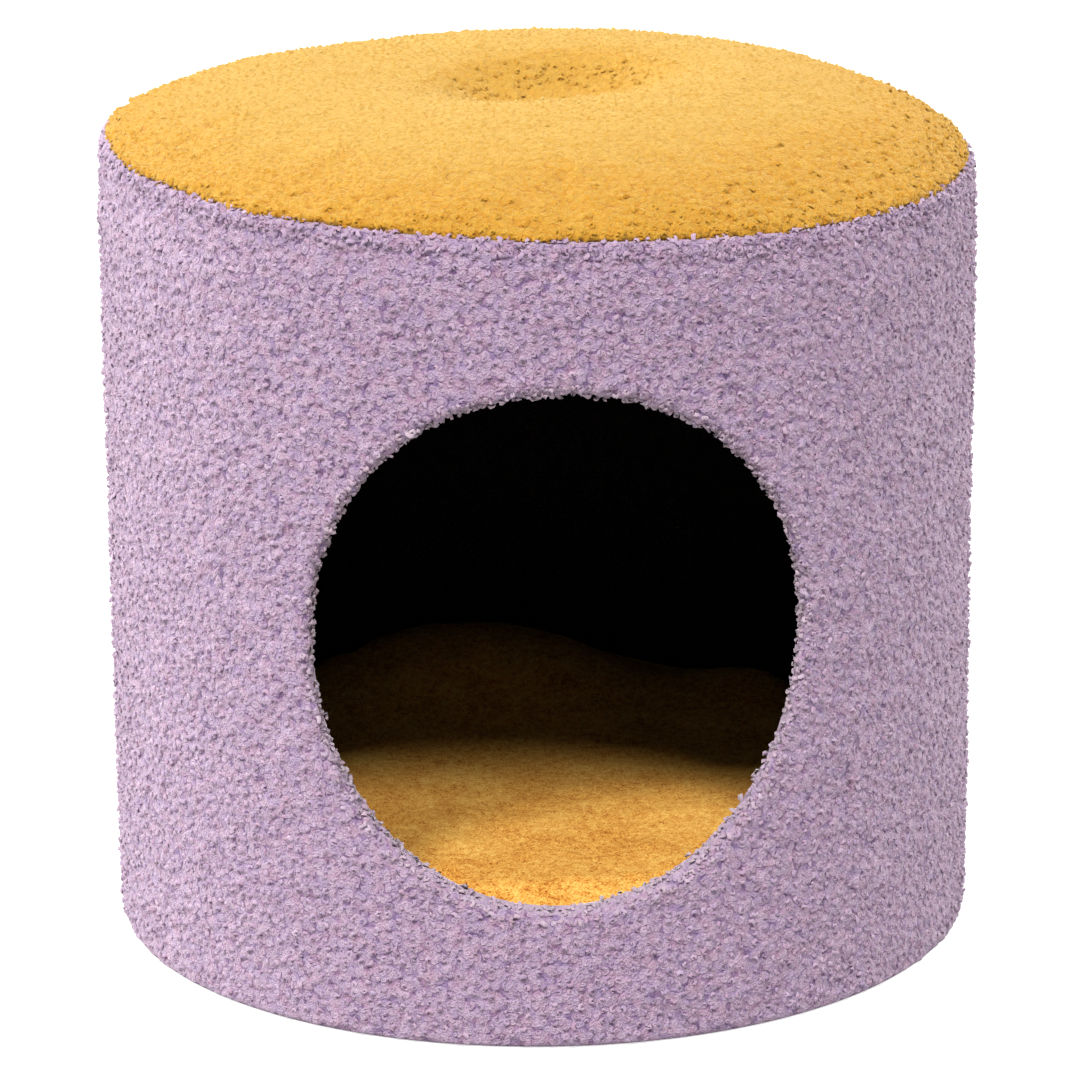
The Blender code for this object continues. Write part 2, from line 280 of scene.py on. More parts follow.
def doorway_cloth(bm, low, high, step, margin):
    """Adds flat cloth, as long as the drum is round, with the doorway cut in it. Returns its vertices."""
    length = 2 * math.pi * WALL_RADIUS
    made = bmesh.ops.create_grid(bm, x_segments=round(length / step), y_segments=round((high - low) / step),
                                 size=0.5)["verts"]
    bmesh.ops.scale(bm, verts=made, vec=(length, high - low, 1.0))
    bmesh.ops.translate(bm, verts=made, vec=(0.0, (low + high) / 2, 0.0))
    middle = Vector((0.0, DOOR_HEIGHT, 0.0))
    faces = {face for vert in made for face in vert.link_faces}
    cut = []
    for face in faces:
        across = face.calc_center_median() - middle
        if across.length < door_edge(math.atan2(across.y, across.x), margin):
            cut.append(face)
    bmesh.ops.delete(bm, geom=cut, context="FACES")
    made = [vert for vert in made if vert.is_valid]
    near = []
    for vert in made:
        across = vert.co - middle
        direction = math.atan2(across.y, across.x)
        past = across.length - door_edge(direction, margin)
        if past < DOOR_EVENED * step:
            if vert.is_boundary:
                vert.co = middle + across.normalized() * door_edge(direction, margin)
            else:
                near.append(vert)
    for _ in range(DOOR_PASSES):
        bmesh.ops.smooth_vert(bm, verts=near, factor=0.5, use_axis_x=True, use_axis_y=True)
    return made


bm = bmesh.new()
cloth = doorway_cloth(bm, LINING_LOW, WALL_HEIGHT, LINING_STEP, LINING_MARGIN)
for vert in cloth:
    along, up = vert.co.x, vert.co.y
    turn = along / WALL_RADIUS
    round_drum = Vector((math.sin(turn), math.cos(turn), up / WALL_RADIUS)) * LINING_RIPPLE_SCALE
    edge_share = min((up - LINING_LOW) / LINING_HELD, (WALL_HEIGHT - up) / LINING_HELD, 1.0)
    ripple = LINING_RIPPLE * (1 + noise.noise(round_drum)) * max(edge_share, 0.0)
    vert.co = wrapped(along, up, LINING_RADIUS - ripple)
bmesh.ops.remove_doubles(bm, verts=bm.verts[:], dist=1e-4)
rim = [edge for edge in bm.edges if edge.is_boundary
       and min(vert.co.z for vert in edge.verts) > WALL_HEIGHT - LINING_EDGE_BAND]
for share in CEILING_RINGS:
    made = bmesh.ops.extrude_edge_only(bm, edges=rim)["geom"]
    inner = {item for item in made if isinstance(item, bmesh.types.BMVert)}
    rim = [item for item in made if isinstance(item, bmesh.types.BMEdge) and inner.issuperset(item.verts)]
    for vert in inner:
        flat = Vector((vert.co.x, vert.co.y, 0.0)).normalized() * LINING_RADIUS * share
        vert.co = (flat.x, flat.y, settled(flat.x, flat.y, WALL_HEIGHT))
bmesh.ops.contextual_create(bm, geom=rim)
bmesh.ops.recalc_face_normals(bm, faces=bm.faces[:])
if min(bm.faces, key=lambda face: face.calc_center_median().y).normal.y > 0:
    bmesh.ops.reverse_faces(bm, faces=bm.faces[:])
bmesh.ops.solidify(bm, geom=bm.faces[:], thickness=LINING_THICKNESS)

# Plain black weave: swallows light, with a faint grid of threads
weave, tree, shader = new_material("black_plain_weave")
place = add(tree, "TexCoord").outputs["Object"]
split = add(tree, "SeparateXYZ", Vector=place)
turned = add(tree, "Math", {"operation": "ARCTAN2"}, i0=split.outputs["X"], i1=split.outputs["Y"])
warp_wave = add(tree, "Math", {"operation": "MULTIPLY"}, i0=turned.outputs[0],
                i1=round(2 * math.pi * LINING_RADIUS / THREAD_SPACING))
warp = add(tree, "Math", {"operation": "SINE"}, i0=warp_wave.outputs[0])
weft_wave = add(tree, "Math", {"operation": "MULTIPLY"}, i0=split.outputs["Z"], i1=2 * math.pi / THREAD_SPACING)
weft = add(tree, "Math", {"operation": "SINE"}, i0=weft_wave.outputs[0])
crossing = add(tree, "Math", {"operation": "MULTIPLY_ADD"}, i0=warp.outputs[0], i1=weft.outputs[0], i2=0.5)
slub = add(tree, "TexNoise", Vector=place, Scale=1 / SLUB_LENGTH, Detail=3.0)
tones = add(tree, "ValToRGB", Fac=slub.outputs["Fac"])
tones.color_ramp.elements[0].position, tones.color_ramp.elements[0].color = 0.35, linear(LINING_COLOUR)
tones.color_ramp.elements[1].position, tones.color_ramp.elements[1].color = 0.75, linear(LINING_LIGHTER)
threads = add(tree, "Bump", Strength=0.5, Distance=0.0003, Height=crossing.outputs[0])
feed(tree, shader, Base_Color=tones.outputs["Color"], Normal=threads.outputs["Normal"], Roughness=0.92,
     Specular_IOR_Level=0.15)
lining = add_piece("black_lining", bm, weave)
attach(lining, "root")
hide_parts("lining")

# Wall
# Curly fleece, a knitted polyester pile set in tight loops, wrapped round a padded drum
# with one seam at the back. It is turned in at the doorway, the foot and the top.

SKIN_RADIUS = 0.1990              # under the tips of the curls
SKIN_STEP = 0.0023
SEAM_LIP = 0.0032                 # the cloth stands up so far in front of the roof's side
SHOULDER_DRAW = 0.0018            # how much the skin draws in at the top; it stands out under the roof's edge
HEM_ROUND = 0.005
HEM_RUNS = (0.0022, 0.0044)       # how far the cloth runs on inwards, past its roll at the doorway
TOP_ROUND = 0.0022
TOP_TURNED_IN = 0.0012
TOP_UNEVEN = 0.2                  # the least share of its tufts that the cloth keeps at the seam
FOOT_ROUND = 0.0015
INNER_STEP = 0.013
BETWEEN_LAYERS = 0.011            # a vertex deeper than this is of the wall's inner face
CLUMP_SIZE = 0.0052               # tufts of curls, across
CLUMP_DEPTH = 0.0015
CLUMP_LEVEL = 0.7                 # what of a tuft's height lies under the even cloth
CLUMP_BEND = 0.55                 # how far the creases between tufts wander, in tufts
CLUMP_BEND_SCALE = 0.9
CREASE_STEEPNESS = 2.2
TUFT_FULLNESS = 0.7
SHEEN_PAINT_START = 0.93                 # cloth whose face points up more than this is painted paler, a painted sheen, up to the share below
SHEEN_PAINT_SHARE = 0.6
HEM_UNEVEN = 1.7                  # how much more uneven the roll at the doorway is
SWELL_SIZE = 0.016                # unevenness under the tufts
SWELL_DEPTH = 0.0007
RINGS = (
    # across, strand spacing, shift of the pattern; in millimetres
    (4.4, 1.9, 0.0),
    (3.4, 1.6, 37.0),
)
RING_BEND = 2.6                   # millimetres
HAIR_WIDTH = 0.75                 # millimetres, coarser than real fibre, so that it shows
COLOUR_PATCH = 7.0                # millimetres
FLEECE_SURFACE = {"Roughness": 0.85, "Specular_IOR_Level": 0.1, "Sheen_Weight": 0.5, "Sheen_Roughness": 0.5}
# Its two darkest tones are painted shade, in the creases between tufts and at the roots of the loops; its top tone is
# a painted sheen on cloth that faces up.
LILAC = {"painted_shade_crease": "492E54", "painted_shade_deep": "71567B", "mid": "977D97", "tip": "B09AAD", "spot": "A4798C",
         "cool": "84759D", "sheen": "EFE2EC", "top": "B09AAD"}


def clump_height(point):
    """Height of the fleece here, from 0 in a crease between tufts to 1 on a tuft, and its slow swell."""
    spot = point / CLUMP_SIZE
    drift = noise.noise_vector(spot * CLUMP_BEND_SCALE) * CLUMP_BEND
    near, next_near = noise.voronoi(spot + drift)[0][:2]
    tuft = min((next_near - near) * CREASE_STEEPNESS, 1.0) ** TUFT_FULLNESS
    swell = noise.noise(point / SWELL_SIZE)
    return tuft, swell


def raise_clumps(bm, share, depth=CLUMP_DEPTH):
    """Pushes a skin out in tufts where the share layer says so, and keeps their height for the colour, whose painted
    shade darkens the creases.
    """
    height = bm.verts.layers.float.new("tuft")
    flat = bm.verts.layers.float.new("flat")
    bm.normal_update()
    moves = []
    for vert in bm.verts:
        # Painted sheen: cloth that faces up is painted paler.
        vert[flat] = SHEEN_PAINT_SHARE * smooth_step((vert.normal.z - SHEEN_PAINT_START) / (1.0 - SHEEN_PAINT_START))
        if vert[share] > 0.0:
            tuft, swell = clump_height(vert.co)
            vert[height] = tuft
            rise = depth * (tuft - CLUMP_LEVEL) + SWELL_DEPTH * swell
            moves.append((vert, vert.normal * vert[share] * rise))
    for vert, move in moves:
        vert.co += move


def wall_radius(up):
    """Radius of the wall's skin: plain, and drawn in towards the seam at the top."""
    shoulder = max(0.0, (up - WALL_HEIGHT + WALL_SHOULDER) / WALL_SHOULDER)
    return SKIN_RADIUS - SHOULDER_DRAW * shoulder ** 2


def grow_edge(bm, edges):
    """Extrudes an open edge of cloth, and returns its new vertices and edges."""
    made = bmesh.ops.extrude_edge_only(bm, edges=edges)["geom"]
    grown = [item for item in made if isinstance(item, bmesh.types.BMVert)]
    inside = set(grown)
    return grown, [item for item in made if isinstance(item, bmesh.types.BMEdge) and inside.issuperset(item.verts)]


def join_loops(bm, first, second, turn_of):
    """Closes the gap between two loops of vertices that differ in number, in order of their turn."""
    first, second = sorted(first, key=turn_of), sorted(second, key=turn_of)
    one, two = 0, 0
    while one < len(first) or two < len(second):
        here, there = first[one % len(first)], second[two % len(second)]
        next_here, next_there = first[(one + 1) % len(first)], second[(two + 1) % len(second)]
        turn_here = turn_of(next_here) + (2 * math.pi if one + 1 >= len(first) else 0.0)
        turn_there = turn_of(next_there) + (2 * math.pi if two + 1 >= len(second) else 0.0)
        if two >= len(second) or (one < len(first) and turn_here < turn_there):
            bm.faces.new((here, next_here, there))
            one += 1
        else:
            bm.faces.new((here, next_there, there))
            two += 1


def loop_edges(verts, test):
    """Open edges among these vertices whose ends all pass the test."""
    edges = {edge for vert in verts for edge in vert.link_edges if edge.is_boundary}
    return [edge for edge in edges if all(test(vert) for vert in edge.verts)]


bm = bmesh.new()
depth = bm.verts.layers.float.new("depth")
share = bm.verts.layers.float.new("share")
cloth_along = bm.verts.layers.float.new("cloth_along")
cloth_up = bm.verts.layers.float.new("cloth_up")
low, high = FOOT_ROUND, WALL_HEIGHT + SEAM_LIP - TOP_ROUND
skin = doorway_cloth(bm, low, high, SKIN_STEP, HEM_ROUND)
for vert in skin:
    vert[share] = 1.0
    vert[cloth_along], vert[cloth_up] = vert.co.x, vert.co.y
middle = Vector((0.0, DOOR_HEIGHT, 0.0))
door_loop = loop_edges(skin, lambda vert: (vert.co - middle).length < DOOR_RADIUS + 2 * HEM_ROUND)
top_loop = loop_edges(skin, lambda vert: vert.co.y > high - 1e-5)
foot_loop = loop_edges(skin, lambda vert: vert.co.y < low + 1e-5)
hem = [(quarter * math.pi / 2, 0.0) for quarter in (0.25, 0.5, 0.75, 1.0)]  # turn of the roll, run past it
hem += [(math.pi / 2, run) for run in HEM_RUNS]
for roll, run in hem:
    grown, door_loop = grow_edge(bm, door_loop)
    margin = HEM_ROUND * (1 - math.sin(roll))
    for vert in grown:
        across = vert.co - middle
        direction = math.atan2(across.y, across.x)
        way = across.normalized()
        vert.co = middle + way * door_edge(direction, margin)
        vert[depth] = HEM_ROUND * (1 - math.cos(roll)) + run
        vert[share] = HEM_UNEVEN
        flat = middle + way * door_edge(direction, HEM_ROUND - HEM_ROUND * roll - run)
        vert[cloth_along], vert[cloth_up] = flat.x, flat.y
for roll in (math.pi / 6, math.pi / 3, math.pi / 2):
    grown, top_loop = grow_edge(bm, top_loop)
    for vert in grown:
        vert.co.y = high + TOP_ROUND * math.sin(roll)
        vert[depth] = TOP_ROUND * (1 - math.cos(roll))
        vert[cloth_up] = high + TOP_ROUND * roll
        vert[share] = max(TOP_UNEVEN, math.cos(roll))
grown, top_loop = grow_edge(bm, top_loop)
for vert in grown:
    vert.co.y = WALL_HEIGHT
    vert[depth] = TOP_ROUND + TOP_TURNED_IN
    vert[cloth_up] = high + TOP_ROUND * math.pi / 2 + SEAM_LIP
    vert[share] = 0.0
grown, foot_loop = grow_edge(bm, foot_loop)
for vert in grown:
    vert.co.y = 0.0
    vert[depth] = FOOT_ROUND
    vert[cloth_up] = -FOOT_ROUND
    vert[share] = 0.0

# The pattern lies on the flat cloth, in metres along it and up it
layer = bm.loops.layers.uv.new("cloth")
for face in bm.faces:
    for corner in face.loops:
        corner[layer].uv = (corner.vert[cloth_along], corner.vert[cloth_up])
outer = bm.verts[:]
for vert in outer:
    vert.co = wrapped(vert.co.x, vert.co.y, wall_radius(vert.co.y) - vert[depth])

inner = doorway_cloth(bm, 0.0, WALL_HEIGHT, INNER_STEP, 0.0)
for vert in inner:
    vert.co = wrapped(vert.co.x, vert.co.y, INNER_RADIUS)
    vert[depth] = WALL_RADIUS - INNER_RADIUS
bmesh.ops.remove_doubles(bm, verts=bm.verts[:], dist=1e-5)
door_middle = wrapped(0.0, DOOR_HEIGHT, INNER_RADIUS)
open_verts = [vert for vert in bm.verts if vert.is_boundary]


def round_house(vert):
    """Turn of a vertex round the house."""
    return math.atan2(vert.co.x, -vert.co.y)


def round_doorway(vert):
    """Turn of a vertex round the doorway."""
    return math.atan2(vert.co.z - door_middle.z, vert.co.x - door_middle.x)


for under, over, turn_of in (
        # heights that an open edge lies between: foot, doorway and top
        (-0.01, 0.01, round_house),
        (0.01, 0.33, round_doorway),
        (0.33, 0.40, round_house)):
    edge = [vert for vert in open_verts if under < vert.co.z < over]
    join_loops(bm, [vert for vert in edge if vert[depth] < BETWEEN_LAYERS],
               [vert for vert in edge if vert[depth] > BETWEEN_LAYERS], turn_of)
bmesh.ops.recalc_face_normals(bm, faces=bm.faces[:])
raise_clumps(bm, share)


def patched_colour_and_painted_sheen(tree, place, scale, tones, colours):
    """The colour socket of fleece with warm and cool patches, and a painted sheen that makes it paler where it faces
    up.
    """
    drift = add(tree, "TexNoise", Vector=place, Scale=scale, Detail=2.0)
    colour = tones.outputs["Color"]
    for tone, full_at, most in (("spot", 0.72, 0.42), ("cool", 0.30, 0.38)):
        amount = add(tree, "MapRange", Value=drift.outputs["Fac"], From_Min=0.50, From_Max=full_at, To_Max=most)
        colour = add(tree, "Mix", {"data_type": "RGBA"}, Factor=amount.outputs[0], i6=colour,
                     i7=linear(colours[tone])).outputs[2]
    # Painted sheen, kept on the mesh: paler where the cloth faces up.
    painted_sheen_amount = add(tree, "Attribute", {"attribute_name": "flat"})
    return add(tree, "Mix", {"data_type": "RGBA"}, Factor=painted_sheen_amount.outputs["Fac"], i6=colour,
               i7=linear(colours["top"])).outputs[2]


def curly_fleece(name, colours, roughness_of_loops=1.0):
    """Curly polyester fleece: matt, each tuft a knot of loops, with painted shade that darkens the creases between
    them.
    """
    material, tree, shader = new_material(name)
    flat = add(tree, "UVMap", {"uv_map": "cloth"}).outputs["UV"]
    place = add(tree, "VectorMath", {"operation": "SCALE"}, i0=flat, Scale=1000.0).outputs[0]  # millimetres
    heights = []
    for size, loop, shift in RINGS:
        moved = add(tree, "VectorMath", {"operation": "ADD"}, i0=place, i1=(shift, shift / 2, 0.0)).outputs[0]
        bend = add(tree, "TexNoise", Vector=moved, Scale=1 / RING_BEND, Detail=2.0)
        centred = add(tree, "VectorMath", {"operation": "SUBTRACT"}, i0=bend.outputs["Color"], i1=(0.5, 0.5, 0.5))
        bent = add(tree, "VectorMath", {"operation": "MULTIPLY_ADD"}, i0=centred.outputs[0],
                   i1=(RING_BEND, RING_BEND, 0.0), i2=moved)
        cell = add(tree, "TexVoronoi", {"voronoi_dimensions": "2D"}, Vector=bent.outputs[0], Scale=1 / size)
        arm = add(tree, "VectorMath", {"operation": "SUBTRACT"}, i0=bent.outputs[0], i1=cell.outputs["Position"])
        arm_parts = add(tree, "SeparateXYZ", Vector=arm.outputs[0])
        angle = add(tree, "Math", {"operation": "ARCTAN2"}, i0=arm_parts.outputs["Y"], i1=arm_parts.outputs["X"])
        chance = add(tree, "SeparateColor", Color=cell.outputs["Color"])
        start = add(tree, "Math", {"operation": "MULTIPLY_ADD"}, i0=chance.outputs[0], i1=2 * math.pi,
                    i2=angle.outputs[0])
        phase = add(tree, "Math", {"operation": "MULTIPLY_ADD"}, i0=cell.outputs["Distance"],
                    i1=2 * math.pi * size / loop, i2=start.outputs[0])
        strand = add(tree, "Math", {"operation": "COSINE"}, i0=phase.outputs[0])
        dome = add(tree, "MapRange", {"interpolation_type": "SMOOTHSTEP"}, Value=cell.outputs["Distance"],
                   From_Min=0.85, From_Max=0.15, To_Min=0.0, To_Max=1.0)
        level = add(tree, "Math", {"operation": "MULTIPLY_ADD"}, i0=chance.outputs[1], i1=0.30, i2=dome.outputs[0])
        heights.append(add(tree, "Math", {"operation": "MULTIPLY_ADD"}, i0=strand.outputs[0], i1=0.27,
                           i2=level.outputs[0]).outputs[0])
    top = add(tree, "Math", {"operation": "SMOOTH_MAX"}, i0=heights[0], i1=heights[1], i2=0.15)
    hairs = add(tree, "TexNoise", Vector=place, Scale=1 / HAIR_WIDTH, Detail=2.0, Distortion=1.2)
    relief = add(tree, "Math", {"operation": "MULTIPLY_ADD"}, i0=hairs.outputs["Fac"], i1=0.55, i2=top.outputs[0])
    # The colour follows the height of the pile: painted shade, darker where it lies low, between tufts and between
    # the curls.
    tuft = add(tree, "Attribute", {"attribute_name": "tuft"})
    depth = add(tree, "Math", {"operation": "MULTIPLY_ADD"}, i0=tuft.outputs["Fac"], i1=0.45, i2=relief.outputs[0])
    span = add(tree, "MapRange", Value=depth.outputs[0], From_Min=0.55, From_Max=2.0)
    tones = add(tree, "ValToRGB", Fac=span.outputs[0])
    tones.color_ramp.elements[0].position, tones.color_ramp.elements[0].color = 0.0, linear(colours["painted_shade_crease"])
    tones.color_ramp.elements[1].position, tones.color_ramp.elements[1].color = 1.0, linear(colours["tip"])
    for position, tone in ((0.18, "painted_shade_deep"), (0.48, "mid")):
        tones.color_ramp.elements.new(position).color = linear(colours[tone])
    bump = add(tree, "Bump", Strength=1.0, Distance=0.0007 * roughness_of_loops, Height=relief.outputs[0])
    feed(tree, shader, Base_Color=patched_colour_and_painted_sheen(tree, place, 1 / COLOUR_PATCH, tones, colours),
         Normal=bump.outputs["Normal"], Sheen_Tint=linear(colours["sheen"]), **FLEECE_SURFACE)
    return material


lilac_fleece = curly_fleece("lilac_curly_fleece", LILAC)
wall = add_piece("wall_fleece", bm, lilac_fleece)
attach(wall, "root")
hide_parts("wall_cover")

# Loops of the wall's fleece
# Each tuft stands up in small open loops of crimped yarn, about 4 mm across. They lie every
# way, and stand out most where the cloth is rolled in: round the doorway and at the top.

STRAND_SIDES = 3
STRAND_STEPS = 4
STRAND_END = 0.45                 # thickness of the strand at its ends, and what it gains by its middle
STRAND_SWELL = 0.55
LOOP_CURL = 0.35                  # how far its end curls in to the middle
LOOP_SHAPES = (
    # turns, loop radius, strand radius, rise
    (0.70, 0.00108, 0.00086, 0.0007),
    (0.85, 0.00098, 0.00080, 0.0009),
    (0.55, 0.00132, 0.00090, 0.0004),
    (0.95, 0.00094, 0.00076, 0.0011),
)
WALL_LOOP_SPACING = 0.0038
WALL_LOOP_SPLIT = 0.030           # the back piece of loops starts here, so that both are about equal
HEM_LOOP_SPACING = 0.0028
SEAM_LOOP_SPACING = 0.0028
TONE_PATCH = 0.008                # loops of one patch this size are lighter or darker together
PAINTED_ROOT_SHADE = 0.55             # how much a loop's tone rises from root to tip (painted shade at the root), differs by chance and by patch
TONE_BY_CHANCE = 0.45
TONE_BY_PATCH = 0.5
LOOP_LOW = 0.0008                 # a loop's lowest point under its middle, and its whole height
LOOP_SPAN = 0.0024
FLOOR_CLEARANCE = 0.0004
FIBRE_SOFTNESS = 0.5              # how much a strand's shading follows the cloth: light goes through fibres
TUFT_EDGE = 0.48                  # loops stand on the tufts, above this, and leave the creases open
OUTER_FACE = 0.1930               # radius past which the skin is the wall's open face
HEM_FACE = 0.1890
SEAM_FACE = 0.1935
SEAM_BAND = 0.004                 # under the top edge
YARN_FIBRE = 0.0006
# A paler copy of the lilac colours for the loops on the doorway's roll: a painted highlight where the rolled edge
# catches the light.
LILAC_RIM_PAINTED_HIGHLIGHT = {"painted_shade_deep": "795F7F", "mid": "9B8498", "tip": "B7A4AF", "spot": "A7858F", "cool": "8F81A1",
              "sheen": "F4EAEC", "top": "A997A5"}


def yarn_loop(turns, loop, strand, rise):
    """Points and triangles of one open loop of yarn, thinner at its ends."""
    bm = bmesh.new()
    bmesh.ops.create_circle(bm, segments=STRAND_SIDES, radius=strand, cap_ends=True)
    bmesh.ops.rotate(bm, verts=bm.verts[:], cent=(0, 0, 0), matrix=Matrix.Rotation(math.pi / 2, 3, "X"))
    bmesh.ops.translate(bm, verts=bm.verts[:], vec=(loop, 0, 0))
    bmesh.ops.spin(bm, geom=bm.faces[:], cent=(0, 0, 0), axis=(0, 0, 1), dvec=(0, 0, rise / STRAND_STEPS),
                   angle=turns * 2 * math.pi, steps=STRAND_STEPS)
    bm.verts.ensure_lookup_table()
    rings = [bm.verts[start:start + STRAND_SIDES] for start in range(0, len(bm.verts), STRAND_SIDES)]
    for number, ring in enumerate(rings):
        share = number / (len(rings) - 1)
        centre = sum((vert.co for vert in ring), Vector()) / STRAND_SIDES
        inward = Vector((centre.x, centre.y, 0.0)) * -LOOP_CURL * share
        for vert in ring:
            thick = STRAND_END + STRAND_SWELL * math.sin(math.pi * share)
            vert.co = centre + inward + (vert.co - centre) * thick
    bmesh.ops.recalc_face_normals(bm, faces=bm.faces[:])
    bmesh.ops.triangulate(bm, faces=bm.faces[:])
    points = np.array([vert.co[:] for vert in bm.verts])
    corners = np.array([[vert.index for vert in face.verts] for face in bm.faces], dtype=np.int32)
    bm.free()
    return points, corners


def loop_places(skin, spacing, wanted, seed, tuft_edge=TUFT_EDGE):
    """Middles, normals and painted sheen of faces on a skin's tufts, no two nearer than the spacing."""
    mesh = skin.data
    tufts, painted_sheen_shares = np.empty(len(mesh.vertices)), np.empty(len(mesh.vertices))
    mesh.attributes["tuft"].data.foreach_get("value", tufts)
    mesh.attributes["flat"].data.foreach_get("value", painted_sheen_shares)
    corners = np.empty(len(mesh.loops), dtype=np.int32)
    mesh.loops.foreach_get("vertex_index", corners)
    starts = np.empty(len(mesh.polygons), dtype=np.int32)
    mesh.polygons.foreach_get("loop_start", starts)
    on_tuft = np.maximum.reduceat(tufts[corners], starts) > tuft_edge
    painted_sheen_shares = painted_sheen_shares[corners[starts]]
    middles = np.empty(len(mesh.polygons) * 3)
    normals = np.empty(len(mesh.polygons) * 3)
    mesh.polygons.foreach_get("center", middles)
    mesh.polygons.foreach_get("normal", normals)
    middles, normals = middles.reshape(-1, 3), normals.reshape(-1, 3)
    order = np.random.default_rng(seed).permutation(np.flatnonzero(wanted(middles, normals) & on_tuft))
    taken, kept = {}, []
    cells = np.floor(middles / spacing).astype(int)
    around = [(x, y, z) for x in (-1, 0, 1) for y in (-1, 0, 1) for z in (-1, 0, 1)]
    for face in order:
        home, spot = cells[face], middles[face]
        close = [taken.get((home[0] + x, home[1] + y, home[2] + z)) for x, y, z in around]
        if all(other is None or np.abs(other - spot).max() > spacing or
               ((other - spot) ** 2).sum() > spacing ** 2 for other in close):
            taken[tuple(home)] = spot
            kept.append(face)
    return middles[kept], normals[kept], painted_sheen_shares[kept]


def lay_loops(name, places, seed, material, size=(0.85, 1.25), lean=0.7, lift=0.0003, tone=(0.5, 1.0),
              shapes=LOOP_SHAPES, softness=FIBRE_SOFTNESS):
    """Joins loops of yarn, one at each place, turned and leant by chance, into one mesh."""
    chance = np.random.default_rng(seed)
    shapes = [yarn_loop(*shape) for shape in shapes]
    points, corners, tones, painted_sheen_shares, cloth_normals, first = [], [], [], [], [], 0
    for number, (middle, normal, flat) in enumerate(zip(*places)):
        shape, faces = shapes[number % len(shapes)]
        aside = np.cross(normal, chance.normal(size=3))
        aside /= np.linalg.norm(aside)
        turned = Matrix((aside, np.cross(normal, aside), normal)).transposed()
        turned = turned @ Matrix.Rotation(chance.uniform(-lean, lean), 3, "X")
        turned = turned @ Matrix.Rotation(chance.uniform(0, 2 * math.pi), 3, "Z") * chance.uniform(*size)
        laid = shape @ np.array(turned).T
        laid_at = laid + middle + normal * lift
        laid_at[:, 2] = np.maximum(laid_at[:, 2], FLOOR_CLEARANCE)
        points.append(laid_at)
        corners.append(faces + first)
        # Painted shade: a loop is darker towards its root; its tone also differs by chance and by patch.
        height = np.clip((laid @ normal + LOOP_LOW) / LOOP_SPAN, 0.0, 1.0)
        patch = TONE_BY_CHANCE * chance.random() + TONE_BY_PATCH * noise.noise(Vector(middle) / TONE_PATCH)
        tones.append(tone[0] + (tone[1] - tone[0]) * (PAINTED_ROOT_SHADE * height + patch))
        painted_sheen_shares.append(np.full(len(shape), flat))
        cloth_normals.append(np.tile(normal, (len(shape), 1)))
        first += len(shape)
    points, corners, tones, painted_sheen_shares, cloth_normals = [
        np.concatenate(parts) for parts in (points, corners, tones, painted_sheen_shares, cloth_normals)]
    mesh = bpy.data.meshes.new(name)
    mesh.vertices.add(len(points))
    mesh.vertices.foreach_set("co", points.ravel())
    mesh.loops.add(corners.size)
    mesh.loops.foreach_set("vertex_index", corners.ravel())
    mesh.polygons.add(len(corners))
    mesh.polygons.foreach_set("loop_start", np.arange(0, corners.size, 3, dtype=np.int32))
    mesh.update(calc_edges=True)
    mesh.shade_smooth()
    strand_normals = np.empty(points.size)
    mesh.vertex_normals.foreach_get("vector", strand_normals)
    soft = strand_normals.reshape(-1, 3) * (1.0 - softness) + cloth_normals * softness
    soft /= np.maximum(np.linalg.norm(soft, axis=1), 1e-6)[:, None]
    mesh.normals_split_custom_set_from_vertices(soft)
    for label, values in (("tone", tones), ("flat", painted_sheen_shares)):
        mesh.attributes.new(label, "FLOAT", "POINT").data.foreach_set("value", values.astype(np.float32))
    mesh.materials.append(material)
    return add_object(name, mesh)


def crimped_yarn(name, colours):
    """The yarn of the loops: the fleece's own colours, with painted shade at the root, fuzzy with fine fibres."""
    material, tree, shader = new_material(name)
    place = add(tree, "TexCoord").outputs["Object"]
    tone = add(tree, "Attribute", {"attribute_name": "tone"})
    tones = add(tree, "ValToRGB", Fac=tone.outputs["Fac"])
    tones.color_ramp.elements[0].position, tones.color_ramp.elements[0].color = 0.0, linear(colours["painted_shade_deep"])
    tones.color_ramp.elements[1].position, tones.color_ramp.elements[1].color = 1.0, linear(colours["tip"])
    tones.color_ramp.elements.new(0.55).color = linear(colours["mid"])
    fibres = add(tree, "TexNoise", Vector=place, Scale=1 / YARN_FIBRE, Detail=2.0, Distortion=1.0)
    bump = add(tree, "Bump", Strength=0.8, Distance=0.0003, Height=fibres.outputs["Fac"])
    feed(tree, shader, Base_Color=patched_colour_and_painted_sheen(tree, place, 1000 / COLOUR_PATCH, tones, colours),
         Normal=bump.outputs["Normal"], Sheen_Tint=linear(colours["sheen"]), **FLEECE_SURFACE)
    return material


lilac_yarn = crimped_yarn("lilac_crimped_yarn", LILAC)


def from_door_edge(middles):
    """How far points of the wall are from the doorway's edge, along the flat cloth."""
    out = np.hypot(middles[:, 0], middles[:, 1])
    turn = np.arctan2(middles[:, 0], -middles[:, 1]) - DOOR_TURN
    along = WALL_RADIUS * np.arcsin(np.clip(np.sin(turn) * out / WALL_RADIUS, -1.0, 1.0))
    up = middles[:, 2] - DOOR_HEIGHT
    direction = np.arctan2(up, along)
    edge = DOOR_RADIUS + sum(size * np.sin(lobes * direction + start) for lobes, start, size in DOOR_LOBES)
    return np.where(middles[:, 1] < -0.1, np.hypot(along, up) - edge, 1.0)


def on_wall(middles, normals):
    """The wall's open face, in front and behind, past the doorway's roll."""
    outside = np.hypot(middles[:, 0], middles[:, 1]) > OUTER_FACE
    return outside & (from_door_edge(middles) > 0.004) & (middles[:, 2] > 0.003)


def on_hem(middles, normals):
    """The roll of cloth round the doorway."""
    return (from_door_edge(middles) < 0.005) & (np.hypot(middles[:, 0], middles[:, 1]) > HEM_FACE)


